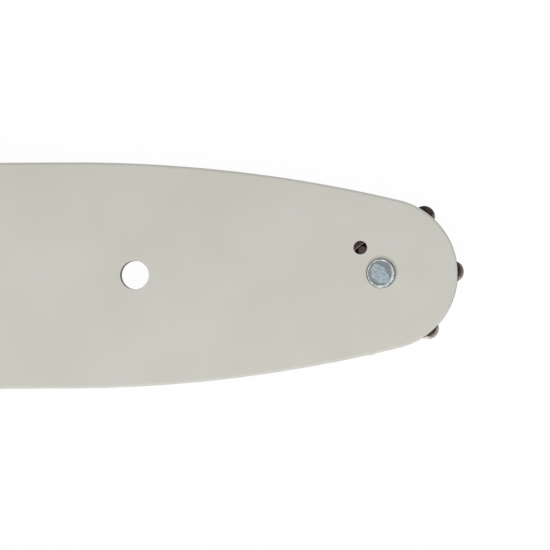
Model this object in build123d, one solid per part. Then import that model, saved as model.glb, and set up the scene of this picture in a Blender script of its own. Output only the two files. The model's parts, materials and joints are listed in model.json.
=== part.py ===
"""Laminated chainsaw guide bar with a sprocket nose, in millimetres.

Two outer plates and a narrower core plate are welded flat into one bar. The core stops short of the outer
plates' edges, which leaves the groove that the chain's drive links run in. At the nose the core is cut back
in a round pocket. A toothed sprocket turns there on needle rollers, around a race that one rivet clamps
between the outer plates. The tail has the slot for the saw's studs, the tensioner's holes and the oil holes.

Frame: the origin is the middle of the stud slot at half the bar's thickness, +X runs along the bar to the
nose, +Y across it and +Z out of the upper face.
"""

from build123d import *
import math
import os

# Chain that runs on the bar
chain_pitch = 9.525
rail_drop = 3.9  # from the chain's own rivets down to the rail
groove_gauge = 1.3  # the drive links' thickness, which is also the core's
groove_depth = 6.2

# Bar as a whole
bar_length = 365.0  # tail end to nose tip, teeth left out
body_width = 52.1
side_plate_thickness = 1.45
flank_radius = 322.0  # each long edge curves in to the nose on this arc
rail_edge_chamfer = 0.45

# Tail that the saw clamps
slot_length = 46.0
slot_width = 8.3
slot_to_tail_end = 15.0
tail_taper_length = 60.0
tail_flank_radius = 300.0
groove_corner_radius = 5.8  # of the groove's bottom, where the tail's corners turn
tension_hole_diameter = 6.6
tension_hole_x = -6.0
oil_hole_diameter = 3.0
oil_hole_x = -19.0

# Hole in the body that the bar hangs by
hang_hole_diameter = 6.6
hang_hole_to_rivet = 57.0

# Nose sprocket
nose_teeth = 7
tooth_stand = 1.52  # how far the teeth stand out past the rail
tooth_tip_radius = 2.5
tooth_gap_radius = 2.6
tooth_edge_chamfer = 0.3
sprocket_web = 3.55  # bearing bore to the bottom of the tooth gaps
sprocket_phase = 1.7  # degrees, of one tooth from the bar's centre line
bore_chamfer = 0.25
pocket_clearance = 0.8  # tooth tips to the core's pocket

# Needle bearing
race_wall = 2.64
roller_diameter = 2.36
roller_spacing = 0.06  # least gap between rollers
roller_phase = 129.0  # degrees, of the first roller
bearing_clearance = 0.02
side_clearance = 0.05  # on each face of the sprocket and the rollers

# Nose rivet and grease holes
rivet_diameter = 6.0
rivet_clearance = 0.03
rivet_head_overhang = 0.18  # how far each head reaches past the shank
rivet_head_stand = 0.25  # how far each head stands out of its plate
rivet_rim_chamfer = 0.22
countersink_gap = 0.2  # open ring around each head at the plate's face
countersink_depth = 0.55
grease_hole_diameter = 3.12
grease_hole_offset = 1.01  # out from the rollers' circle
grease_hole_angle = 129.5  # degrees

# Sizes that follow from those above
pitch_radius = chain_pitch / (2 * math.sin(math.pi / (2 * nose_teeth)))
nose_radius = pitch_radius - rail_drop
tooth_tip_reach = nose_radius + tooth_stand
pocket_radius = tooth_tip_reach + pocket_clearance
tail_x = -slot_length / 2 - slot_to_tail_end
rivet_x = tail_x + bar_length - nose_radius
hang_hole_x = rivet_x - hang_hole_to_rivet
running_thickness = groove_gauge - 2 * side_clearance
rivet_hole_radius = rivet_diameter / 2 + rivet_clearance
rivet_head_radius = rivet_diameter / 2 + rivet_head_overhang
countersink_radius = rivet_head_radius + countersink_gap
race_radius = rivet_hole_radius + race_wall
roller_circle_radius = race_radius + bearing_clearance + roller_diameter / 2
bearing_bore_radius = roller_circle_radius + roller_diameter / 2 + bearing_clearance
tooth_root_radius = bearing_bore_radius + sprocket_web
roller_count = math.floor(2 * math.pi * roller_circle_radius / (roller_diameter + roller_spacing))
plate_face_z = groove_gauge / 2 + side_plate_thickness
tail_flank_center = Vector(tail_x + tail_taper_length, body_width / 2 - tail_flank_radius)
rivet_axis = Pos(rivet_x, 0, 0)


def bar_outline(inset):
    """Outline of the bar, moved inwards by inset: straight edges, a taper and rounded corners at the tail,
    and at the nose a flank arc on each side that runs tangent into the round nose."""
    corner = groove_corner_radius + groove_depth - inset
    tail_flank = tail_flank_radius - inset
    flank = flank_radius - inset
    nose = nose_radius - inset
    half_width = body_width / 2 - inset
    end_x = tail_x + inset

    corner_x = end_x + corner
    tail_turn = math.degrees(math.asin((tail_flank_center.X - corner_x) / (tail_flank - corner)))
    corner_y = tail_flank_center.Y + (tail_flank - corner) * math.cos(math.radians(tail_turn))
    nose_turn = math.degrees(math.acos((flank - half_width) / (flank - nose)))
    shoulder_x = rivet_x - (flank - nose) * math.sin(math.radians(nose_turn))

    tail_end = Line((end_x, 0), (end_x, corner_y))
    tail_corner = JernArc(tail_end @ 1, tail_end % 1, corner, tail_turn - 90)
    tail_side = JernArc(tail_corner @ 1, tail_corner % 1, tail_flank, -tail_turn)
    long_edge = Line(tail_side @ 1, (shoulder_x, half_width))
    nose_side = JernArc(long_edge @ 1, long_edge % 1, flank, -nose_turn)
    nose_tip = JernArc(nose_side @ 1, nose_side % 1, nose, nose_turn - 90)
    half = tail_end + tail_corner + tail_side + long_edge + nose_side + nose_tip
    return make_face(half.edges() + mirror(half, Plane.XZ).edges())


def tail_edge_y(x, inset):
    """Height of the tail's curved edge over the centre line at x, moved inwards by inset."""
    reach = tail_flank_radius - inset
    return tail_flank_center.Y + math.sqrt(reach**2 - (x - tail_flank_center.X) ** 2)


def mirrored_pair(hole, x, y):
    """The same hole at the same distance on each side of the centre line."""
    return [Pos(x, y) * hole, Pos(x, -y) * hole]


def through_holes():
    """Holes that go through all three plates: the stud slot, the hanging hole, and the tensioner's two holes
    halfway between the slot and the groove."""
    slot = SlotOverall(slot_length, slot_width)
    hang_hole = Pos(hang_hole_x, 0) * Circle(hang_hole_diameter / 2)
    tension_hole_y = (slot_width / 2 + tail_edge_y(tension_hole_x, groove_depth)) / 2
    tension_hole = Circle(tension_hole_diameter / 2)
    return [slot, hang_hole, *mirrored_pair(tension_hole, tension_hole_x, tension_hole_y)]


def oil_holes():
    """A hole at each long edge of the tail that opens into the bottom of the groove."""
    oil_hole_y = tail_edge_y(oil_hole_x, groove_depth - oil_hole_diameter / 2)
    return mirrored_pair(Circle(oil_hole_diameter / 2), oil_hole_x, oil_hole_y)


def side_plate():
    """Outer plate, with its inner face on the XY plane: bevelled rail, holes, and the countersink that the
    rivet's head is formed into."""
    grease_hole = Pos(roller_circle_radius + grease_hole_offset, 0) * Circle(grease_hole_diameter / 2)
    grease_hole = rivet_axis * Rot(0, 0, grease_hole_angle) * grease_hole
    rivet_hole = rivet_axis * Circle(rivet_hole_radius)
    plate = extrude(bar_outline(0), side_plate_thickness)
    plate = chamfer(plate.edges().group_by(Axis.Z)[-1], rail_edge_chamfer)
    for hole in [*through_holes(), *oil_holes(), grease_hole, rivet_hole]:
        plate -= extrude(hole, side_plate_thickness)
    countersink = Cone(
        rivet_hole_radius,
        countersink_radius,
        countersink_depth,
        align=(Align.CENTER, Align.CENTER, Align.MAX),
    )
    return plate - rivet_axis * Pos(0, 0, side_plate_thickness) * countersink


def core_plate():
    """Middle plate, set in from the outer plates by the groove's depth and cut back round the sprocket."""
    pocket = rivet_axis * Circle(pocket_radius)
    core = bar_outline(groove_depth) - [pocket, *through_holes()]
    return extrude(core, groove_gauge / 2, both=True)


def nose_sprocket():
    """Star of round-tipped teeth with round gaps between them, joined by straight flanks that run tangent
    into both, and a chamfered bore that the rollers turn in."""
    half_pitch = 180 / nose_teeth
    tip_center = Vector(tooth_tip_reach - tooth_tip_radius, 0)
    gap_center = Vector(tooth_root_radius + tooth_gap_radius, 0).rotate(Axis.Z, half_pitch)
    across = gap_center - tip_center
    lean = math.acos((tooth_tip_radius + tooth_gap_radius) / across.length)
    tip_turn = math.degrees(math.atan2(across.Y, across.X) - lean)

    tip = JernArc((tooth_tip_reach, 0), (0, 1), tooth_tip_radius, tip_turn)
    gap_start = gap_center - (tip @ 1 - tip_center) * (tooth_gap_radius / tooth_tip_radius)
    flank = Line(tip @ 1, gap_start)
    gap = JernArc(flank @ 1, flank % 1, tooth_gap_radius, half_pitch - tip_turn)
    half_tooth = tip + flank + gap
    tooth = half_tooth.edges() + mirror(half_tooth, Plane.XZ).edges()
    spokes = [Rot(0, 0, 2 * half_pitch * number) for number in range(nose_teeth)]
    star = make_face([spoke * edge for spoke in spokes for edge in tooth])

    disc = extrude(star, running_thickness / 2, both=True)
    levels = disc.edges().group_by(Axis.Z)
    disc = chamfer(levels[0] + levels[-1], tooth_edge_chamfer)
    disc -= Cylinder(bearing_bore_radius, running_thickness)
    rims = disc.faces().sort_by(Axis.Z)
    disc = chamfer(rims[0].inner_wires().edges() + rims[-1].inner_wires().edges(), bore_chamfer)
    return rivet_axis * Rot(0, 0, sprocket_phase) * disc


def bearing_race():
    """Hardened ring around the rivet, as thick as the core, that the rollers run on."""
    ring = Circle(race_radius) - Circle(rivet_hole_radius)
    return rivet_axis * extrude(ring, groove_gauge / 2, both=True)


def needle_roller(number):
    """One plain roller in its place between the race and the sprocket's bore."""
    turn = Rot(0, 0, roller_phase + 360 * number / roller_count)
    roller = Cylinder(roller_diameter / 2, running_thickness)
    return rivet_axis * turn * Pos(roller_circle_radius, 0, 0) * roller


def nose_rivet():
    """Solid rivet: a shank through the plates and the race, and a head with a bevelled rim at each end."""
    shank = rivet_diameter / 2
    head = rivet_head_radius
    seat_slope = countersink_depth / (countersink_radius - rivet_hole_radius)
    mouth_z = plate_face_z + rivet_clearance
    neck_z = mouth_z - (countersink_radius - shank) * seat_slope
    head_z = mouth_z - (countersink_radius - head) * seat_slope
    top_z = plate_face_z + rivet_head_stand
    rim_z = top_z - rivet_rim_chamfer
    upper = [(shank, neck_z), (head, head_z), (head, rim_z), (head - rivet_rim_chamfer, top_z), (0, top_z)]
    lower = [(radius, -z) for radius, z in reversed(upper)]
    profile = make_face(Polyline(*lower, *upper, close=True))
    return rivet_axis * revolve(Plane.XZ * profile, Axis.Z)


upper_side_plate = Pos(0, 0, groove_gauge / 2) * side_plate()
pieces = {
    "upper_side_plate": upper_side_plate,
    "core_plate": core_plate(),
    "lower_side_plate": mirror(upper_side_plate, Plane.XY),
    "nose_sprocket": nose_sprocket(),
    "bearing_race": bearing_race(),
    "nose_rivet": nose_rivet(),
}
for number in range(roller_count):
    pieces[f"needle_roller_{number + 1:02d}"] = needle_roller(number)

os.makedirs("parts", exist_ok=True)
for name, piece in pieces.items():
    export_step(piece, f"parts/{name}.step")
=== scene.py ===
"""Looks of a laminated chainsaw guide bar with a sprocket nose, in metres, around its solids.

X runs along the bar to the nose, Y across it and Z out of the upper face, as in the solids.
"""

import json
import bpy
import numpy as np
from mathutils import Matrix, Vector
from mathutils.geometry import delaunay_2d_cdt


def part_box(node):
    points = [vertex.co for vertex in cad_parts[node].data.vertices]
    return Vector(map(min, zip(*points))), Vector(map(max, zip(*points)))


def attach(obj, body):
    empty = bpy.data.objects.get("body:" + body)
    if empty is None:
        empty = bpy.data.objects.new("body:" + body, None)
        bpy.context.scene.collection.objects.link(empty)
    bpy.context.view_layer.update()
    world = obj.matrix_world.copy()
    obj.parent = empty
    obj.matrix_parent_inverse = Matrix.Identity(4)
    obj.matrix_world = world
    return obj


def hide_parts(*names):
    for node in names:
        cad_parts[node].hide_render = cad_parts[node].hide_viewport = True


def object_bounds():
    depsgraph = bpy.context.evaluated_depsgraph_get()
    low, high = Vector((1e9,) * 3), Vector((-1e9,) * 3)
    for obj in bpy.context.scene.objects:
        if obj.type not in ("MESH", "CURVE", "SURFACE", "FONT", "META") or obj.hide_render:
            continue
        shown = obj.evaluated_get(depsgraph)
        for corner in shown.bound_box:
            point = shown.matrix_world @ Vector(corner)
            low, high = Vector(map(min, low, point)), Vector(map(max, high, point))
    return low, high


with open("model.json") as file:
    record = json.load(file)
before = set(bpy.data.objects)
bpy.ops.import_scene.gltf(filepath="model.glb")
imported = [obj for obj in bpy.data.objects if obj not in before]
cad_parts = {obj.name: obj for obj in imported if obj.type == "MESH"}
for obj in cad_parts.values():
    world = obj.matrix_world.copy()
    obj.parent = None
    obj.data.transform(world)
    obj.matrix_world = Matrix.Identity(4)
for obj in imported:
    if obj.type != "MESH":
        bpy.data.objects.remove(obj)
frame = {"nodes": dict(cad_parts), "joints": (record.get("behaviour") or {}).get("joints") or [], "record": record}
cad_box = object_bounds()

# Core plate
# The middle one of the bar's three steel plates, cut from cold-rolled strip and spot welded between the
# other two. It stops short of their edges, so its edge is the bottom of the groove for the chain.
mm = 0.001
micron = 0.001 * mm
core_stain_size = 6 * mm
core_line_width = 0.4 * mm
core_line_stretch = (14, 1, 1)
core_line_depth = 6 * micron
# Limits are the values of a noise where a stain begins and where it is full. Roughness is least and most.
core_stain_limits = (0.42, 0.66)
core_roughness = (0.42, 0.62)
core_grey = (0.1, 0.096, 0.084, 1)
core_brown = (0.062, 0.055, 0.044, 1)


def new_finish(name, **sockets):
    """A material with one Principled shader, whose sockets take the given values."""
    finish = bpy.data.materials.new(name)
    finish.use_nodes = True
    shader = finish.node_tree.nodes["Principled BSDF"]
    for socket, value in sockets.items():
        shader.inputs[socket.replace("_", " ")].default_value = value
    return finish


def add(finish, kind, inputs, **settings):
    """Adds a node to a finish. Each of its inputs takes a value, or the output of another node."""
    tree = finish.node_tree
    node = tree.nodes.new("ShaderNode" + kind)
    for name, value in settings.items():
        setattr(node, name, value)
    for name, value in inputs.items():
        if isinstance(value, bpy.types.NodeSocket):
            tree.links.new(value, node.inputs[name])
        else:
            node.inputs[name].default_value = value
    return node.outputs


def noise(finish, size, stretch=(1, 1, 1), detail=3.0, roughness=0.55):
    """Soft noise in the piece's own coordinates: patches of about this size, stretched along the axes."""
    place = add(finish, "TexCoord", {})["Object"]
    scale = [1 / (size * axis) for axis in stretch]
    scaled = add(finish, "Mapping", {"Vector": place, "Scale": scale})["Vector"]
    inputs = {"Vector": scaled, "Scale": 1.0, "Detail": detail, "Roughness": roughness}
    return add(finish, "TexNoise", inputs)["Fac"]


def between(finish, value, low, high, to_low=0.0, to_high=1.0):
    """The value, moved from the range low to high into the range to_low to to_high and held there."""
    inputs = {"Value": value, "From Min": low, "From Max": high, "To Min": to_low, "To Max": to_high}
    return add(finish, "MapRange", inputs)["Result"]


def uneven(finish, pattern, low, high):
    """Roughness from low to high that follows a noise, most of whose values lie between 0.3 and 0.7."""
    return between(finish, pattern, 0.3, 0.7, low, high)


def blend_of(finish, share, first, second):
    """Mix of two colours, the second by the given share."""
    return add(finish, "MixRGB", {"Fac": share, "Color1": first, "Color2": second})["Color"]


def dress(finish, colour, roughness, height, depth):
    """Gives a finish its colour, its roughness, and a bump of this depth from a height of 0 to 1."""
    bump = add(finish, "Bump", {"Height": height, "Distance": depth, "Strength": 1.0})["Normal"]
    shader = finish.node_tree.nodes["Principled BSDF"]
    for socket, output in (("Base Color", colour), ("Roughness", roughness), ("Normal", bump)):
        finish.node_tree.links.new(output, shader.inputs[socket])
    return finish


def dress_node(name, finish):
    """Gives a CAD node this finish in place of its own."""
    materials = frame["nodes"][name].data.materials
    materials.clear()
    materials.append(finish)


def rolled_steel():
    """Cold-rolled strip in a film of old oil: brown stains over grey, fine lines along the rolling."""
    finish = new_finish("rolled_steel", Metallic=0.5, Specular_IOR_Level=0.1)
    stains = between(finish, noise(finish, core_stain_size), *core_stain_limits)
    lines = noise(finish, core_line_width, core_line_stretch)
    tone = blend_of(finish, stains, core_grey, core_brown)
    return dress(finish, tone, uneven(finish, lines, *core_roughness), lines, core_line_depth)


dress_node("core_plate", rolled_steel())

# Outer plates
# Two wider plates, one on each face of the core, cut to one outline and coated in satin light grey.
# Their edges are the rails that the chain slides on: rounded outside, ground and rubbed bare on top.
# Painted shade darkens the rail at the very nose and the walls of the holes, and a painted shadow of
# the rivet's head lies on the coat beside its seat.
rivet_x = frame["joints"][0]["pos_m"][0]
mounts = {mount["name"]: mount for mount in frame["record"]["mounts"]}
plate_low, plate_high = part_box("upper_side_plate")
plate_thickness = plate_high.z - plate_low.z
half_width = plate_high.y
tail_x = plate_low.x
nose_radius = plate_high.x - rivet_x
groove_depth = half_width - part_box("core_plate")[1].y
flank_radius = 322 * mm
tail_flank_radius = 300 * mm
tail_taper = 60 * mm
tail_corner_radius = 12 * mm
edge_softness = 0.62 * mm
edge_flat = 0.06 * mm
rail_bare = 0.12 * mm
hole_softness = 0.1 * mm
hole_points = 96
inner_softness = 0.06 * mm
inner_steps = 4
inner_spacing = 7 * mm
inner_clearance = 4.5 * mm
slot_radius = mounts["stud_slot"]["dims"]["hole_r_mm"] * mm
slot_half_run = mounts["stud_slot"]["dims"]["slot_length_mm"] / 2 * mm - slot_radius
oil_hole_radius = 1.5 * mm
oil_hole_x = -19 * mm
grease_hole_radius = 1.56 * mm
grease_hole_reach = 7.88 * mm
grease_hole_turn = np.radians(129.5)
countersink_radius = 3.44 * mm
countersink_depth = 0.4 * mm
rivet_hole_radius = 3.13 * mm
rivet_hole_shift = (-0.25 * mm, 0.14 * mm)
burr_x = rivet_x - 2.2 * mm
burr_height = 0.2 * mm
burr_run = 0.9 * mm
burr_break = 0.3 * mm
blotch_size = 22 * mm
blotch_limits = (0.36, 0.64)
grain_size = 0.6 * mm
grain_depth = 4 * micron
sheen_size = 4 * mm
coat_roughness = (0.44, 0.56)
# A nib's reach is in spacings, and only a place whose random value passes the rarity has one.
nib_spacing = 6.25 * mm
nib_reach = (0.018, 0.035)
nib_rarity = (0.8, 0.81)
coat_light = (0.555, 0.548, 0.495, 1)
coat_dark = (0.53, 0.52, 0.465, 1)
coat_nib = (0.42, 0.41, 0.37, 1)
# Painted shadow of the rivet's head on the coat: its colour, its middle from the rivet's axis, its radius, how far
# it fades, and its share at the middle.
coat_rivet_shadow = (0.2, 0.19, 0.165, 1)
rivet_shadow_shift = (-0.15 * mm, 0.48 * mm)
rivet_shadow_radius = 3.3 * mm
rivet_shadow_fade = 0.6 * mm
rivet_shadow_share = 0.5
grind_width = 0.12 * mm
grind_stretch = (1, 12, 12)
grind_depth = 4 * micron
dull_size = 5 * mm
dull_limits = (0.4, 0.68)
rail_roughness = (0.28, 0.46)
rail_bright = (0.60, 0.58, 0.545, 1)
rail_dull = (0.42, 0.395, 0.36, 1)
# Painted shade on the rail at the very nose: its colour, and where along the bar it starts and is full.
rail_nose_shade = (0.06, 0.055, 0.048, 1)
rail_shade_start = rivet_x + 12.5 * mm
rail_shade_full = rivet_x + 15.5 * mm
streak_width = 0.3 * mm
streak_stretch = (1, 1, 8)
streak_depth = 8 * micron
cut_stain_size = 3 * mm
cut_stain_limits = (0.4, 0.65)
cut_roughness = (0.45, 0.65)
# Bare steel's tones, darkened as painted shade for the walls of the holes.
cut_grey_shaded = (0.07, 0.068, 0.055, 1)
cut_dark_shaded = (0.035, 0.034, 0.027, 1)
# Order of a plate's finishes.
coated, ground, cut = range(3)


def tail_flank_y(x, inset):
    """Height of the tail's curved edge at x, moved inwards by inset: a circle that starts level."""
    reach = tail_flank_radius - inset
    return half_width - tail_flank_radius + np.sqrt(reach**2 - (x - tail_x - tail_taper) ** 2)


def unit(turn):
    """Unit vectors at these turns: (cos, sin)."""
    return np.stack([np.cos(turn), np.sin(turn)], axis=-1)


def bar_edge():
    """The bar's edge as points and outward normals, counter-clockwise from the nose. Each round stretch
    is its centre plus its radius times (cos, sin): the nose, the flank, the tail's flank and its corner
    run into each other tangent to tangent, straight edges join what is left, and the lower half is the
    upper one mirrored."""
    nose_turn = np.arccos((flank_radius - half_width) / (flank_radius - nose_radius))
    shoulder_x = rivet_x - (flank_radius - nose_radius) * np.sin(nose_turn)
    taper_x = tail_x + tail_taper
    corner_x = tail_x + tail_corner_radius
    corner_reach = tail_flank_radius - tail_corner_radius
    tail_turn = np.arcsin((taper_x - corner_x) / corner_reach)
    corner_y = half_width - tail_flank_radius + corner_reach * np.cos(tail_turn)
    up = np.pi / 2
    # A stretch's centre, radius, first and last turn, number of points, and whether its last point is kept.
    stretches = [
        ((rivet_x, 0), nose_radius, 0, up - nose_turn, 90, False),
        ((shoulder_x, half_width - flank_radius), flank_radius, up - nose_turn, up, 420, True),
        ((taper_x, half_width - tail_flank_radius), tail_flank_radius, up, up + tail_turn, 60, False),
        ((corner_x, corner_y), tail_corner_radius, up + tail_turn, np.pi, 40, True),
    ]
    points, normals = [], []
    for center, radius, first, last, count, kept in stretches:
        normals.append(unit(np.linspace(first, last, count, endpoint=kept)))
        points.append(np.array(center) + radius * normals[-1])
    upper = (np.concatenate(points), np.concatenate(normals))
    return [np.concatenate([half, half[:0:-1] * np.array([1, -1])]) for half in upper]


def hole_edge(x, y, radius, half_run=0.0):
    """A hole's edge as points and normals into the hole, clockwise, so that the metal is on its left: the
    centre plus the radius times (cos, sin), and in a slot its two halves moved apart by half_run."""
    outward = unit(-2 * np.pi * (np.arange(hole_points) + 0.5) / hole_points)
    points = np.array([x, y]) + radius * outward
    points[:, 0] += half_run * np.sign(outward[:, 0])
    return points, -outward


def soft_bevel(softness, flat, steps=8):
    """Profile of an outer edge, as insets and depths: a quarter circle of radius softness, cut at 45
    degrees and moved apart by flat, with this many points in each half."""
    turn = np.linspace(0, np.pi / 2, 2 * steps)
    early = np.arange(2 * steps) < steps
    inset = softness * (1 - np.sin(turn)) + flat * early
    depth = softness * (1 - np.cos(turn)) + flat * ~early
    return np.column_stack([inset, depth])


def down_to_core(bevel):
    """Goes on from a bevel straight down to the plate's inner face, with a small round at its edge."""
    turn = np.linspace(0, np.pi / 2, inner_steps)
    inset = inner_softness * (1 - np.cos(turn))
    depth = plate_thickness - inner_softness * (1 - np.sin(turn))
    return np.concatenate([bevel, np.column_stack([inset, depth])])


def countersink():
    """Profile of the rivet's hole: a cone from the outer face to the hole, then straight down."""
    inset = countersink_radius - rivet_hole_radius
    cone = np.array([(inset + hole_softness / 2, 0), (inset, hole_softness / 4), (0, countersink_depth)])
    return down_to_core(cone)


def grid_faces(rows, columns, start=0, closed=False):
    """Quads between neighbouring rows and columns of a grid of points. The last column is joined to the
    first, and in a closed grid the last row is too."""
    column = np.arange(columns)
    after = np.roll(column, -1)
    row = np.arange(rows if closed else rows - 1)[:, None]
    above = start + columns * row
    below = start + columns * ((row + 1) % rows)
    return np.stack([above + column, below + column, below + after, above + after], axis=2).reshape(-1, 4)


def left_of(ring, places):
    """Whether each place lies to the left of each of the ring's edges."""
    along = ring - np.roll(ring, 1, axis=0)
    offset = places[:, None] - ring[None]
    return along[:, 0] * offset[:, :, 1] > along[:, 1] * offset[:, :, 0]


def flat_face(rings):
    """Delaunay triangles of a flat face between an outer ring and the rings of its holes. A coarse grid
    of points in the metal is added behind the rings' own points. A triangle with all its corners on one
    hole's ring lies in that hole."""
    counts = np.array([len(ring) for ring in rings])
    ends = np.cumsum(counts)
    corners = np.concatenate(rings)
    after = np.arange(1, len(corners) + 1)
    after[ends - 1] = ends - counts
    low, high = corners.min(0), corners.max(0)
    across = [np.arange(low[axis], high[axis], inner_spacing) for axis in (0, 1)]
    inner = np.stack(np.meshgrid(*across), axis=2).reshape(-1, 2)
    gap = np.linalg.norm(inner[:, None] - corners[None], axis=2).min(1)
    in_metal = left_of(rings[0], inner).all(1) & (gap > inner_clearance)
    for ring in rings[1:]:
        in_metal &= left_of(ring, inner).any(1)
    inner = inner[in_metal]
    every = np.concatenate([corners, inner]) / mm
    edges = np.column_stack([np.arange(len(corners)), after])
    inside_only, same_place = 1, 1e-7
    made = delaunay_2d_cdt(every.tolist(), edges.tolist(), [], inside_only, same_place)
    made_triangles, made_from = made[2:4]
    triangles = np.array([ids[0] for ids in made_from])[np.array(made_triangles)]
    ring_of = np.concatenate([np.repeat(np.arange(len(rings)), counts), np.full(len(inner), -1)])[triangles]
    in_hole = (ring_of[:, 0] > 0) & (ring_of == ring_of[:, :1]).all(1)
    return inner, triangles[~in_hole]


def new_piece(name, points, faces, smooth, finishes, finish_of=None):
    """A mesh object at the origin, in the bar's own frame."""
    mesh = bpy.data.meshes.new(name)
    mesh.from_pydata(np.asarray(points).tolist(), [], faces)
    mesh.polygons.foreach_set("use_smooth", np.broadcast_to(smooth, len(faces)).tolist())
    for finish in finishes:
        mesh.materials.append(finish)
    if finish_of is not None:
        mesh.polygons.foreach_set("material_index", finish_of.tolist())
    mesh.update()
    piece = bpy.data.objects.new(name, mesh)
    bpy.context.scene.collection.objects.link(piece)
    return piece


def plate(name, edges, side, finishes):
    """An outer plate. Each edge's profile is carried along it, point = edge point - inset * normal, and
    flat faces close the outer and the inner side. An edge's wall has its own finish from where its inset
    comes down to bare_width. side is 1 for the upper plate and -1 for the lower one."""
    grids, quads, finish_of, rings, start = [], [], [], [], 0
    for (points, normals), profile, wall_finish, bare_width in edges:
        inset, depth = profile.T
        flat = points[None] - inset[:, None, None] * normals[None]
        rows, columns = flat.shape[:2]
        height = np.broadcast_to((plate_high.z - depth)[:, None, None], (rows, columns, 1))
        grids.append(np.concatenate([flat, height], axis=2).reshape(-1, 3))
        quads.append(grid_faces(rows, columns, start))
        on_wall = np.arange(rows - 1) >= np.argmax(inset <= bare_width)
        finish_of.append(np.repeat(np.where(on_wall, wall_finish, coated), columns))
        rings.append((start + np.arange(columns), start + columns * (rows - 1) + np.arange(columns)))
        start += rows * columns
    points = np.concatenate(grids)
    flats = []
    for level, face_finish in ((0, coated), (1, cut)):
        ring = np.concatenate([pair[level] for pair in rings])
        inner, found = flat_face([points[pair[level], :2] for pair in rings])
        index = np.concatenate([ring, len(points) + np.arange(len(inner))])
        height = np.full((len(inner), 1), plate_high.z - level * plate_thickness)
        points = np.concatenate([points, np.concatenate([inner, height], axis=1)])
        flats.append(index[found] if level == 0 else index[found][:, ::-1])
        finish_of.append(np.full(len(found), face_finish))
    quads, flats = np.concatenate(quads), np.concatenate(flats)
    points[:, 2] *= side
    faces = [*quads[:, ::side].tolist(), *flats[:, ::side].tolist()]
    smooth = np.arange(len(faces)) < len(quads)
    return new_piece(name, points, faces, smooth, finishes, np.concatenate(finish_of))


def combine(finish, operation, first, second):
    """Two values added, multiplied, or taken as the larger of the two."""
    return add(finish, "Math", {0: first, 1: second}, operation=operation)["Value"]


def reach_from(finish, x, y):
    """Distance from a point, measured in the plane of the bar."""
    place = add(finish, "TexCoord", {})["Object"]
    flat = add(finish, "VectorMath", {0: place, 1: (1, 1, 0)}, operation="MULTIPLY")["Vector"]
    return add(finish, "VectorMath", {0: flat, 1: (x, y, 0)}, operation="DISTANCE")["Value"]


def satin_coating():
    """Thin satin coat: two close tones in soft blotches, a fine grain that also lifts the surface by some
    microns, here and there a nib of dust, and a soft painted shadow of the rivet's head to one side of its seat."""
    finish = new_finish("satin_coating")
    blotches = between(finish, noise(finish, blotch_size, detail=2.0), *blotch_limits)
    grain = noise(finish, grain_size, detail=2.0)
    place = add(finish, "TexCoord", {})["Object"]
    cells = add(finish, "TexVoronoi", {"Vector": place, "Scale": 1 / nib_spacing})
    speck = between(finish, cells["Distance"], *nib_reach, 1.0, 0.0)
    rare = between(finish, add(finish, "SeparateColor", {"Color": cells["Color"]})["Red"], *nib_rarity)
    nib = combine(finish, "MULTIPLY", speck, rare)
    # Painted shadow of the rivet's head, to one side of its seat.
    reach = reach_from(finish, rivet_x + rivet_shadow_shift[0], rivet_shadow_shift[1])
    rivet_shadow = between(finish, reach, rivet_shadow_radius, rivet_shadow_radius + rivet_shadow_fade, rivet_shadow_share, 0.0)
    tone = blend_of(finish, blotches, coat_light, coat_dark)
    tone = blend_of(finish, rivet_shadow, tone, coat_rivet_shadow)
    tone = blend_of(finish, nib, tone, coat_nib)
    sheen = uneven(finish, noise(finish, sheen_size), *coat_roughness)
    return dress(finish, tone, sheen, grain, grain_depth)


def ground_steel():
    """Rail top, ground bare: fine marks straight across the rail, dull patches between them, and darkened
    at the very nose as painted shade."""
    finish = new_finish("ground_steel", Metallic=1.0)
    marks = noise(finish, grind_width, grind_stretch)
    dull = between(finish, noise(finish, dull_size), *dull_limits)
    place = add(finish, "TexCoord", {})["Object"]
    along = add(finish, "SeparateXYZ", {"Vector": place})["X"]
    # Painted shade at the very nose.
    nose_shade = between(finish, along, rail_shade_start, rail_shade_full)
    tone = blend_of(finish, dull, rail_bright, rail_dull)
    tone = blend_of(finish, nose_shade, tone, rail_nose_shade)
    return dress(finish, tone, uneven(finish, marks, *rail_roughness), marks, grind_depth)


def cut_steel():
    """Bare steel as the cutter left it in the holes and under the plate: dull, streaked in Z, and darker
    than its own tone as painted shade on the walls of the holes.
    """
    finish = new_finish("cut_steel", Metallic=0.3, Specular_IOR_Level=0.1)
    streaks = noise(finish, streak_width, streak_stretch)
    stains = between(finish, noise(finish, cut_stain_size), *cut_stain_limits)
    tone = blend_of(finish, stains, cut_grey_shaded, cut_dark_shaded)
    return dress(finish, tone, uneven(finish, streaks, *cut_roughness), streaks, streak_depth)


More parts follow.
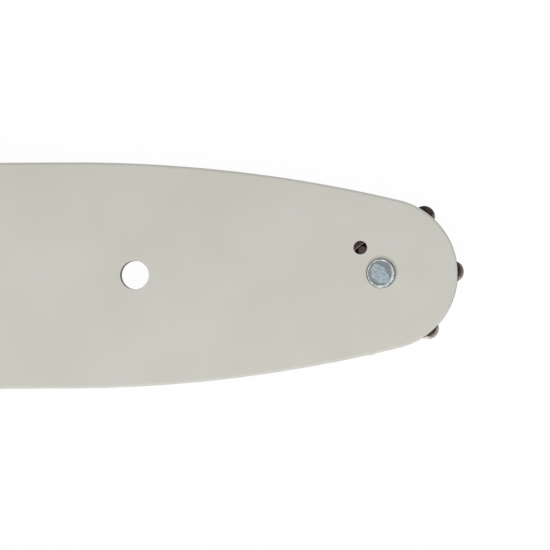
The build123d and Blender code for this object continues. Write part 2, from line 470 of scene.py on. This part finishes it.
oil_hole_y = tail_flank_y(oil_hole_x, groove_depth - oil_hole_radius)
grease_hole = np.array([rivet_x, 0]) + grease_hole_reach * unit(grease_hole_turn)
bores = [mounts[name] for name in ("tension_hole_1", "tension_hole_2", "hang_hole")]
holes = [
    hole_edge(0, 0, slot_radius, slot_half_run),
    *(hole_edge(*bore["pos_m"][:2], bore["dims"]["r_mm"] * mm) for bore in bores),
    hole_edge(oil_hole_x, oil_hole_y, oil_hole_radius),
    hole_edge(oil_hole_x, -oil_hole_y, oil_hole_radius),
    hole_edge(*grease_hole, grease_hole_radius),
]
rivet_hole = hole_edge(rivet_x + rivet_hole_shift[0], rivet_hole_shift[1], rivet_hole_radius)
rail_profile = down_to_core(soft_bevel(edge_softness, edge_flat))
hole_profile = down_to_core(soft_bevel(hole_softness, 0.0))
plate_finishes = [satin_coating(), ground_steel(), cut_steel()]
for name, side in (("upper", 1), ("lower", -1)):
    points, normals = bar_edge()
    if side == 1:
        # One burr on the lower edge, drawn out on the tail's side and broken off on the nose's side.
        past_burr = points[:, 0] - burr_x
        burr = burr_height * np.exp(-((past_burr / np.where(past_burr < 0, burr_run, burr_break)) ** 2))
        points = points + (burr * (points[:, 1] < 0))[:, None] * normals
    edges = [((points, normals), rail_profile, ground, rail_bare)]
    edges += [(hole, hole_profile, cut, 0) for hole in holes]
    edges += [(rivet_hole, countersink(), cut, 0)]
    outer_plate = plate(f"{name}_outer_plate", edges, side, plate_finishes)
    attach(outer_plate, "bar")
    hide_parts(f"{name}_side_plate")

# Bearing race
# A ring of hardened steel around the rivet that the rollers run on. It is as thick as the core, and the
# rivet clamps it between the outer plates.
film_size = 1.1 * mm
film_limits = (0.36, 0.6)
race_grain_size = 0.2 * mm
race_grain_depth = 3 * micron
race_roughness = (0.34, 0.5)
race_grey = (0.102, 0.074, 0.057, 1)
race_brown = (0.053, 0.036, 0.027, 1)


def bearing_steel():
    """Hardened steel in old grease: a brown film over grey, with a fine grain."""
    finish = new_finish("bearing_steel", Metallic=0.8)
    film = between(finish, noise(finish, film_size), *film_limits)
    grain = noise(finish, race_grain_size)
    tone = blend_of(finish, film, race_grey, race_brown)
    return dress(finish, tone, uneven(finish, grain, *race_roughness), grain, race_grain_depth)


bearing_finish = bearing_steel()
dress_node("bearing_race", bearing_finish)

# Needle rollers
# A full set of hardened needles between the race and the sprocket, each with a small round at both ends
# and a few microns of running play.
roller_names = sorted(name for name in frame["nodes"] if name.startswith("needle_roller"))
roller_edge = 0.08 * mm
roller_edge_steps = 6
roller_end_rings = np.linspace(0.15, 1, 5)[:-1]
roller_play = 0.006 * mm
roller_columns = 48


def turned_points(profile, columns):
    """Points of a surface of revolution: each profile point (radius, height), from the top down, goes
    round in a ring about the Z axis, and the points on the axis at both ends come last."""
    radius, height = profile.T
    turn = 2 * np.pi * np.arange(columns) / columns
    flat = radius[:, None, None] * unit(turn)
    z = np.broadcast_to(height[:, None, None], (len(height), columns, 1))
    poles = np.array([(0, 0, height[0]), (0, 0, height[-1])])
    return np.concatenate([np.concatenate([flat, z], axis=2).reshape(-1, 3), poles])


def turned_piece(name, points, columns, center, finishes):
    """The surface over turned points, moved to a centre: quads between rings, fans round both ends."""
    rows = (len(points) - 2) // columns
    column = np.arange(columns)
    after = np.roll(column, -1)
    last = columns * (rows - 1)
    top = np.column_stack([np.full(columns, len(points) - 2), column, after])
    bottom = np.column_stack([np.full(columns, len(points) - 1), last + after, last + column])
    faces = grid_faces(rows, columns).tolist() + top.tolist() + bottom.tolist()
    return new_piece(name, points + np.array(center), faces, True, finishes)


def round_ended(radius, half_height):
    """Profile of a cylinder with quarter rounds at both ends, and a few rings across each flat end."""
    flat = roller_end_rings * (radius - roller_edge)
    turn = np.linspace(0, np.pi / 2, roller_edge_steps)
    out, drop = roller_edge * (1 - np.sin(turn)), roller_edge * (1 - np.cos(turn))
    upper = np.concatenate([
        np.column_stack([flat, np.full(len(flat), half_height)]),
        np.column_stack([radius - out, half_height - drop]),
    ])
    return np.concatenate([upper, upper[::-1] * np.array([1, -1])])


for name in roller_names:
    low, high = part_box(name)
    size = high - low
    points = turned_points(round_ended(size.x / 2 - roller_play, size.z / 2), roller_columns)
    center = (low + high) / 2
    roller = turned_piece(name.replace("needle_", ""), points, roller_columns, center, [bearing_finish])
    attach(roller, "rollers")
    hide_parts(name)

# Bearing grease
# Dark grease packed between the needles, pressed in through the grease holes. It fills the ring between
# the race and the sprocket's bore and creeps up a little where it wets the needles.
bore_radius = 8.07 * mm
race_low, race_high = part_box("bearing_race")
race_radius = (race_high.x - race_low.x) / 2
first_low, first_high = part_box(roller_names[0])
first_roller = (first_low + first_high) / 2
grease_gap = 0.03 * mm
grease_middle = 0.2 * mm
grease_creep = 0.18 * mm
# The bank of grease along the bore, as distances from the bore's wall and from the needles' ends.
grease_bank = np.array([(-0.12, 0.01), (-0.02, 0.01), (0.07, 0.01), (0.07, -0.05), (-0.03, -0.2)]) * mm
thin_size = 0.8 * mm
thin_limits = (0.45, 0.7)
wet_size = 0.5 * mm
grease_roughness = (0.6, 0.85)
lump_size = 0.4 * mm
lump_depth = 10 * micron
grease_black = (0.005, 0.0035, 0.003, 1)
grease_brown = (0.014, 0.009, 0.007, 1)


def grease_ring(name, finish, rows=8, columns=408):
    """Ring of grease as one grid, closed both ways. Its half height is middle + creep * cos^2 of half the
    turn from needle to needle, so that it is highest at each needle; along the bore it is banked up over
    the needles' ends and swells a little into the bore's bevel."""
    phase = np.arctan2(first_roller.y, first_roller.x - rivet_x)
    turn = phase + 2 * np.pi * np.arange(columns) / columns
    between_needles = grease_middle + grease_creep * np.cos(len(roller_names) * (turn - phase) / 2) ** 2
    bank = np.array([bore_radius, first_high.z]) + grease_bank
    radius = np.append(np.linspace(race_radius + grease_gap, bank[0, 0] - grease_gap, rows), bank[:, 0])
    bank_height = np.repeat(bank[:, 1:], columns, axis=1)
    height = np.concatenate([np.repeat(between_needles[None], rows, axis=0), bank_height])
    radius = np.concatenate([radius, radius[::-1]])[:, None]
    height = np.concatenate([height, -height[::-1]])
    grid = np.stack([rivet_x + radius * np.cos(turn), radius * np.sin(turn), height], 2)
    faces = grid_faces(len(grid), columns, closed=True)
    return new_piece(name, grid.reshape(-1, 3), faces.tolist(), True, [finish])


def dark_grease():
    """Old grease: nearly black, brown where it is thin, and wet in places."""
    finish = new_finish("dark_grease", Specular_IOR_Level=0.03)
    thin = between(finish, noise(finish, thin_size), *thin_limits)
    tone = blend_of(finish, thin, grease_black, grease_brown)
    wet = uneven(finish, noise(finish, wet_size), *grease_roughness)
    return dress(finish, tone, wet, noise(finish, lump_size), lump_depth)


grease = grease_ring("bearing_grease", dark_grease())
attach(grease, "rollers")

# Nose sprocket
# A star of seven round-tipped teeth, stamped from hardened plate with a dark brown oxide on it. Its tips
# stand out past the rails and lift the chain round the nose, which rubs one flank of each tooth bright.
# These rubbed rims and flanks are partly painted highlights, the tooth below the bar's middle line is
# painted lighter and the one above it darker, and the oxide is painted black as shade under the rails
# and round the bore.
star_low, star_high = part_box("nose_sprocket")
teeth = 7
tooth_pitch = 2 * np.pi / teeth
tooth_reach = 19.0225 * mm
tip_radius = 2.5 * mm
tip_steps = 22
gap_radius = 2.6 * mm
gap_steps = 16
root_radius = 11.62 * mm
star_phase = np.radians(1.7)
face_steps = 7
rim_inset = 0.85 * mm
rim_depth = 0.5 * mm
rim_steps = 5
bore_bevel = 0.25 * mm
# The bore's lip from the bore outwards: distance out and depth, in bevels, and how bright it is rubbed,
# partly as painted highlight.
bore_lip = [(0, 1, 0), (0.4, 0.6, 0), (0.5, 0.3, 1), (0.75, 0, 1), (0.92, 0, 1), (1.0, 0, 0)]
# Wear of each tooth, counter-clockwise from the one that points along the bar, with painted light in
# it: the last tooth, below the bar's middle line, is lightest and the second, above it, darkest.
tooth_wear_and_light = (0.3, 0.0, 0.5, 0.8, 0.35, 0.7, 1.0)
# Where each tooth's flank is rubbed bright, partly as painted highlight, and the least and most of it on flanks
# and rims.
flank_start = np.radians(-4.0)
flank_full = np.radians(-6.5)
flank_least = 0.4
rim_least = 0.05
rim_most = 0.8
# Painted black shade on the oxide: where it ends past the rail and how far it fades, the belt under the rail, the
# share of the oxide's own tone kept near the bore, and how free of the shade a place must be to show its rubbing
# in full.
shade_edge = nose_radius + 0.1 * mm
shade_fade = 1.0 * mm
shade_belt = 5.0 * mm
bore_unshaded = 0.42
unshaded_enough = 0.35
oxide_blotch_size = 1.6 * mm
oxide_blotch_limits = (0.38, 0.66)
oxide_grain_size = 0.25 * mm
oxide_grain_depth = 8 * micron
oxide_roughness = (0.34, 0.5)
worn_limits = (0.3, 0.6)
worn_least = 0.6
brown_from, brown_full = 0.3, 1.7
# Painted shade: black under the rails and round the bore.
oxide_shade_black = (0.01, 0.009, 0.008, 1)
oxide_dark = (0.032, 0.021, 0.0145, 1)
oxide_brown = (0.168, 0.115, 0.087, 1)
# Rubbed bright steel, partly painted highlight.
oxide_worn_highlight = (0.6, 0.535, 0.485, 1)


def star_edge():
    """Edge of the star as points and outward normals, about its own axis. Half a tooth is the tip's arc,
    its centre plus radius * (cos, sin), and the gap's arc, its centre minus radius * (cos, sin), joined
    where their normals agree; it is mirrored to a whole tooth and turned round the axis."""
    tip_center = np.array([tooth_reach - tip_radius, 0])
    gap_center = (root_radius + gap_radius) * unit(tooth_pitch / 2)
    across = gap_center - tip_center
    lean = np.arccos((tip_radius + gap_radius) / np.linalg.norm(across))
    tip_turn = np.arctan2(across[1], across[0]) - lean
    tip = unit(np.linspace(0, tip_turn, tip_steps))
    gap = unit(np.linspace(tip_turn, tooth_pitch / 2, gap_steps))
    points = np.concatenate([tip_center + tip_radius * tip, gap_center - gap_radius * gap])
    normals = np.concatenate([tip, gap])
    cos, sin = unit(tooth_pitch)
    reflect = np.array([[cos, sin], [sin, -cos]])
    points = np.concatenate([points, points[-2:0:-1] @ reflect])
    normals = np.concatenate([normals, normals[-2:0:-1] @ reflect])
    turn = star_phase + tooth_pitch * np.arange(teeth)
    spin = np.array([[np.cos(turn), np.sin(turn)], [-np.sin(turn), np.cos(turn)]])
    return [np.einsum("pi,ijt->tpj", each, spin).reshape(-1, 2) for each in (points, normals)]


def paint(piece, name, values):
    """Keeps a value for each point of a piece, for its finish to read."""
    attribute = piece.data.attributes.new(name, "FLOAT", "POINT")
    attribute.data.foreach_set("value", values.ravel().astype(np.float32))


def star_piece(name, finish):
    """The star as one grid, closed both ways: rows go from the bore out over the upper face, round the
    rim, back in over the lower face and up the bore, and columns follow the star's edge. Each tooth is
    rubbed along its rim and on one flank, by its own wear and painted light, and the rubbed marks are
    partly painted highlights."""
    points, normals = star_edge()
    half_height = (star_high.z - star_low.z) / 2
    outward = points / np.linalg.norm(points, axis=1, keepdims=True)
    inset, depth = soft_bevel(1.0, 0.0, rim_steps).T * np.array([[rim_inset], [rim_depth]])
    rim = points[None] - inset[:, None, None] * normals[None]
    out, sink, bright = np.array(bore_lip).T
    lip = (bore_radius + bore_bevel * out)[:, None, None] * outward
    share = np.linspace(0, 1, face_steps)[1:-1, None, None]
    face = lip[-1] + share * (rim[0] - lip[-1])
    flat = np.concatenate([lip, face, rim])
    height = half_height - np.concatenate([bore_bevel * sink, np.zeros(len(face)), depth])
    flat = np.concatenate([flat, flat[::-1]])
    height = np.concatenate([height, -height[::-1]])
    rows, columns = flat.shape[:2]
    grid = np.concatenate([flat, np.broadcast_to(height[:, None, None], (rows, columns, 1))], axis=2)
    faces = grid_faces(rows, columns, closed=True)
    center = np.array([rivet_x, 0, (star_high.z + star_low.z) / 2])
    star = new_piece(name, grid.reshape(-1, 3) + center, faces.tolist(), True, [finish])
    turn = np.arctan2(points[:, 1], points[:, 0]) - star_phase
    tooth = np.rint(turn / tooth_pitch).astype(int)
    past_tooth = turn - tooth * tooth_pitch
    wear = np.array(tooth_wear_and_light)[tooth % teeth]
    on_rim = np.zeros((rows // 2, 1))
    on_rim[-len(rim) :, 0] = np.sin(np.linspace(0, np.pi, len(rim)))
    on_flank = np.clip((past_tooth - flank_start) / (flank_full - flank_start), 0, 1)
    # The rubbed rim and flank, partly painted highlights, by each tooth's wear and painted light.
    rubbed = np.sqrt(on_rim) * on_flank * (flank_least + (1 - flank_least) * wear)
    rubbed += on_rim**2 * (rim_least + (rim_most - rim_least) * wear)
    rubbed[: len(lip)] = bright[:, None]
    rubbed = np.concatenate([rubbed, rubbed[::-1]])
    paint(star, "rubbed", rubbed)
    paint(star, "wear", np.broadcast_to(wear, rubbed.shape))
    return star


def painted(finish, name):
    """The value that a piece keeps for each of its points under this name."""
    return add(finish, "Attribute", {}, attribute_name=name)["Fac"]


def brown_oxide():
    """Dark brown oxide: blotched, painted black as shade in a belt under the rail and round the bore,
    brighter where the chain rubs one flank of each tooth and on the bore's lip, partly as painted
    highlight, and browner with each tooth's wear and painted light."""
    finish = new_finish("brown_oxide", Metallic=0.75, Specular_IOR_Level=0.2)
    blotches = between(finish, noise(finish, oxide_blotch_size), *oxide_blotch_limits)
    grain = noise(finish, oxide_grain_size)
    reach = reach_from(finish, rivet_x, 0)
    # Painted shade: the oxide is black under the rail, partly black towards the bore, and fully black on the
    # bore's bevel.
    past_rail = between(finish, reach, shade_edge, shade_edge + shade_fade)
    near_bore = between(finish, reach, shade_edge - shade_belt, shade_edge - shade_belt / 2, bore_unshaded, 0.0)
    dark_lip, bright_lip = (bore_radius + bore_bevel * bore_lip[row][0] for row in (1, 2))
    near_bore = combine(finish, "MULTIPLY", near_bore, between(finish, reach, dark_lip, bright_lip))
    unshaded = combine(finish, "MAXIMUM", past_rail, near_bore)
    patchy = between(finish, grain, *worn_limits, worn_least, 1.0)
    # Rubbed bright, partly as painted highlight.
    broken = combine(finish, "MULTIPLY", painted(finish, "rubbed"), patchy)
    broken = combine(finish, "MULTIPLY", broken, between(finish, unshaded, 0.0, unshaded_enough))
    # Browner with each tooth's wear and painted light.
    bare = combine(finish, "ADD", blotches, painted(finish, "wear"))
    tone = blend_of(finish, between(finish, bare, brown_from, brown_full), oxide_dark, oxide_brown)
    tone = blend_of(finish, unshaded, oxide_shade_black, tone)
    tone = blend_of(finish, broken, tone, oxide_worn_highlight)
    return dress(finish, tone, uneven(finish, grain, *oxide_roughness), grain, oxide_grain_depth)


star = star_piece("toothed_star", brown_oxide())
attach(star, "sprocket")
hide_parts("nose_sprocket")

# Nose rivet
# A solid steel rivet through the plates and the race, zinc plated with a bluish tint. A punch a little
# off its axis closed each head and left a bright rolled rim, a groove and a beaten mark to one side.
# The groove is painted darker as shade, and the rim has a painted highlight on one side and painted
# shade on another.
rivet_low, rivet_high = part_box("nose_rivet")
rivet_columns = 160
shank_radius = 3.0 * mm
neck_depth = 0.6 * mm
head_radius = (rivet_high.x - rivet_low.x) / 2
head_side = 0.45 * mm
head_shift = (-0.32 * mm, 0.1 * mm)
head_spread = 0.045
face_shift = (-0.25 * mm, 0.13 * mm)
face_rings = np.linspace(0.02, 1, 44)
rim_width = 0.55 * mm
rim_rise = 0.1 * mm
rim_rings = np.linspace(-1, 1, 17)[1:]
rim_start = 0.2 * rim_width
# The rim's worn brightness all round, then the turns of its painted highlight and painted shade, and the share of
# the shade.
rim_wear_least = 0.75
highlight_turn = np.radians(112)
shade_turn = np.radians(38)
shade_share = 0.4
mark_radius = 1.72 * mm
mark_stretch = 1.5
mark_turn = np.radians(-48)
mark_shift = (0.01 * mm, -0.19 * mm)
# Waves in the mark's edge: how many go round it, their height as a share of its size, their start.
mark_waves = ((3, 0.05, 0.6), (7, 0.045, 2.0))
mark_rise = 0.05 * mm
mark_slope = 0.4 * mm
dent_count = 170
dent_seed = 11
dent_size = (0.25 * mm, 0.6 * mm)
dent_bend = (0.03 / mm, 0.08 / mm)
zinc_grain_size = 0.3 * mm
zinc_grain_depth = 20 * micron
zinc_patch_size = 1.1 * mm
zinc_patch_shift = 0.2
rim_patch_size = 0.9 * mm
zinc_limits = (0.35, 0.65)
zinc_roughness, rim_roughness = 0.38, 0.3
# Share of painted shade in the groove round the punch mark.
groove_shade = 0.8
zinc_light = (0.33, 0.385, 0.42, 1)
zinc_dark = (0.2, 0.235, 0.255, 1)
# Painted shade in the groove.
zinc_shaded = (0.145, 0.163, 0.17, 1)
rim_light = (0.64, 0.675, 0.675, 1)
rim_dark = (0.3, 0.32, 0.33, 1)


def rivet_profile():
    """Half of the rivet's profile from the middle of the head to the middle of the shank, mirrored below:
    a flat sunk face, a rolled rim of height rise * (1 - u^6) across its width, the head's side, and the
    cone to the shank."""
    face_z = rivet_high.z - rim_rise
    face = np.column_stack([face_rings * (head_radius - rim_width), np.full(len(face_rings), face_z)])
    rim_radius = head_radius + rim_width * (rim_rings - 1) / 2
    rim = np.column_stack([rim_radius, face_z + rim_rise * (1 - rim_rings**6)])
    side = [(head_radius, face_z - head_side), (shank_radius, plate_high.z - neck_depth)]
    upper = np.concatenate([face, rim, side])
    return np.concatenate([upper, upper[::-1] * np.array([1, -1])])


def mark_share(points):
    """1 on the punch mark, 0 off it, with a smooth step across its uneven edge. The mark is an ellipse,
    whose size goes up and down with the turn as a sum of sines."""
    along = unit(mark_turn)
    across = np.array([-along[1], along[0]])
    from_middle = (points[:, :2] - np.array(mark_shift)) @ np.column_stack([along / mark_stretch, across])
    turn = np.arctan2(from_middle[:, 1], from_middle[:, 0])
    waves = sum(height * np.sin(count * turn + start) for count, height, start in mark_waves)
    inside = mark_radius * (1 + waves) - np.linalg.norm(from_middle, axis=1)
    share = np.clip(inside / mark_slope + 0.5, 0, 1)
    return share**2 * (3 - 2 * share)


def rim_share(points):
    """1 on the rolled rim and outside it, 0 on the face inside."""
    radius = np.linalg.norm(points[:, :2], axis=1)
    return np.clip((radius - head_radius + rim_width) / rim_start, 0, 1)


def rim_wear_and_highlight(points):
    """How bright the rim is: worn bright all round, with a painted highlight most on one side and painted
    shade most on another, as cos^4 of the turn from each.
    """
    turn = np.arctan2(points[:, 1], points[:, 0])
    bright, dull = (np.clip(np.cos(turn - side), 0, 1) ** 4 for side in (highlight_turn, shade_turn))
    return rim_share(points) * (rim_wear_least + (1 - rim_wear_least) * bright - shade_share * dull)


def peened(plain):
    """Forms both heads. The punch mark is raised over the groove, and at each point of the face the
    deepest of many shallow bowls, depth * (1 - distance^2 / size^2), is taken away. The face is moved to
    one side, by less and less across the rim. From the neck up, the head spreads across the bar and
    leans off the rivet's axis."""
    points = plain.copy()
    draw = np.random.default_rng(dent_seed)
    for head in (1, -1):
        turn = draw.uniform(0, 2 * np.pi, dent_count)
        out = (head_radius - rim_width) * np.sqrt(draw.uniform(0, 1, dent_count))
        size = draw.uniform(*dent_size, dent_count)
        depth = size**2 * draw.uniform(*dent_bend, dent_count)
        distance = np.linalg.norm(plain[:, None, :2] - out[:, None] * unit(turn), axis=2)
        bowls = (depth * np.clip(1 - (distance / size) ** 2, 0, None)).max(1)
        on_face = (1 - rim_share(plain)) * (plain[:, 2] * head > plate_high.z)
        points[:, 2] += head * on_face * (mark_rise * mark_share(plain) - bowls)
    height = np.abs(plain[:, 2:])
    radius = np.linalg.norm(plain[:, :2], axis=1, keepdims=True)
    inside = np.clip((head_radius - radius) / rim_width, 0, 1)
    points[:, :2] += inside * (height > plate_high.z) * np.array(face_shift)
    neck_z = plate_high.z - neck_depth
    lean = np.clip((height - neck_z) / (rivet_high.z - rim_rise - neck_z), 0, 1)
    points[:, :2] *= 1 + lean * np.array([0, head_spread])
    points[:, :2] += lean * np.array(head_shift)
    return points


def blue_zinc():
    """Zinc plate with a bluish tint: fine light and dark grain on the punch mark, painted shade in the
    groove round it, and worn bright on the rolled rim, with a painted highlight and painted shade by side."""
    finish = new_finish("blue_zinc", Metallic=1.0)
    grain = noise(finish, zinc_grain_size, detail=2.0)
    patches = noise(finish, zinc_patch_size)
    patches = between(finish, patches, *zinc_limits, -zinc_patch_shift, zinc_patch_shift)
    speckle = combine(finish, "ADD", between(finish, grain, *zinc_limits), patches)
    # Painted shade in the groove round the mark.
    in_groove = between(finish, painted(finish, "mark"), 0.0, 1.0, groove_shade, 0.0)
    # The rim's wear, with its painted highlight and painted shade.
    on_rim = painted(finish, "rim")
    worn = between(finish, noise(finish, rim_patch_size), *zinc_limits)
    tone = blend_of(finish, speckle, zinc_dark, zinc_light)
    tone = blend_of(finish, in_groove, tone, zinc_shaded)
    tone = blend_of(finish, on_rim, tone, blend_of(finish, worn, rim_dark, rim_light))
    shine = between(finish, on_rim, 0.0, 1.0, zinc_roughness, rim_roughness)
    return dress(finish, tone, shine, grain, zinc_grain_depth)


plain_rivet = turned_points(rivet_profile(), rivet_columns)
rivet = turned_piece("peened_rivet", peened(plain_rivet), rivet_columns, (rivet_x, 0, 0), [blue_zinc()])
paint(rivet, "mark", mark_share(plain_rivet))
# The rim's wear, with its painted highlight and painted shade.
paint(rivet, "rim", rim_wear_and_highlight(plain_rivet))
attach(rivet, "bar")
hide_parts("nose_rivet")

# Floor
# A wide sheet of white paper under the bar, which rests on its lower rivet head. The sheet runs far past
# the picture, so that no edge of it shows.
floor_reach = 12.0
floor_white = (0.9, 0.9, 0.9, 1)
floor_glow = 0.965


def white_floor():
    """White paper. Seen straight or in a reflection it is mostly plain white, and keeps a faint part of
    the shadows that fall on it."""
    finish = new_finish("white_floor")
    finish.node_tree.nodes.clear()
    path = add(finish, "LightPath", {})
    seen = combine(finish, "MAXIMUM", path["Is Camera Ray"], path["Is Glossy Ray"])
    seen = combine(finish, "MAXIMUM", seen, path["Is Transmission Ray"])
    share = combine(finish, "MULTIPLY", seen, floor_glow)
    paper = add(finish, "BsdfDiffuse", {"Color": floor_white})["BSDF"]
    glow = add(finish, "Emission", {"Color": (1, 1, 1, 1), "Strength": 1.0})["Emission"]
    surface = add(finish, "MixShader", {0: share, 1: paper, 2: glow})["Shader"]
    add(finish, "OutputMaterial", {"Surface": surface})
    return finish


corners = floor_reach * np.array([(-1, -1), (1, -1), (1, 1), (-1, 1)])
corners = np.column_stack([corners + np.array([rivet_x / 2, 0]), np.full(4, cad_box[0].z)])
floor = new_piece("floor", corners, [(0, 1, 2, 3)], False, [white_floor()])

# Light
# A pale room with two soft lamps: a long one close overhead, and a low one beyond the bar's lower edge
# that faces the nose half.
room_level = 0.59

room = bpy.data.worlds.new("pale_room")
bpy.context.scene.world = room
room.use_nodes = True
room.node_tree.nodes["Background"].inputs["Color"].default_value = (1, 1, 1, 1)
room.node_tree.nodes["Background"].inputs["Strength"].default_value = room_level


def soft_lamp(name, size, place, aim, power):
    """A flat lamp of this size that faces the given point and isn't seen by the camera itself."""
    lamp = bpy.data.lights.new(name, "AREA")
    lamp.shape = "RECTANGLE"
    lamp.size, lamp.size_y = size
    lamp.energy = power
    stand = bpy.data.objects.new(name, lamp)
    stand.location = place
    stand.rotation_euler = (Vector(aim) - Vector(place)).to_track_quat("-Z", "Y").to_euler()
    stand.visible_camera = False
    bpy.context.scene.collection.objects.link(stand)


soft_lamp("overhead_lamp", size=(0.7, 0.12), place=(0.22, -0.03, 0.2), aim=(0.22, -0.03, 0), power=0.33)
soft_lamp("front_lamp", size=(0.5, 0.2), place=(0.3, -0.6, 0.24), aim=(0.25, 0, 0), power=1.42)

# Camera
# It looks straight down on the nose half of the bar from a little below its middle line, with the lens
# shifted back up, and the bar is turned a little in the picture.
picture_width = 126.56 * mm
camera_height = 350 * mm
sensor_width = 36.0
rivet_from_middle = (24.69 * mm, 0.14 * mm)
bar_roll = np.radians(0.27)
camera_low = 4 * mm

camera = bpy.data.cameras.new("camera")
camera.sensor_width = sensor_width
camera.lens = sensor_width * camera_height / picture_width
camera.shift_y = camera_low / picture_width
camera_stand = bpy.data.objects.new("camera", camera)
camera_x = rivet_x - rivet_from_middle[0]
camera_stand.location = (camera_x, -rivet_from_middle[1] - camera_low, plate_high.z + camera_height)
camera_stand.rotation_euler = (0, 0, -bar_roll)
bpy.context.scene.collection.objects.link(camera_stand)
bpy.context.scene.camera = camera_stand
bpy.context.scene.view_settings.view_transform = "Standard"
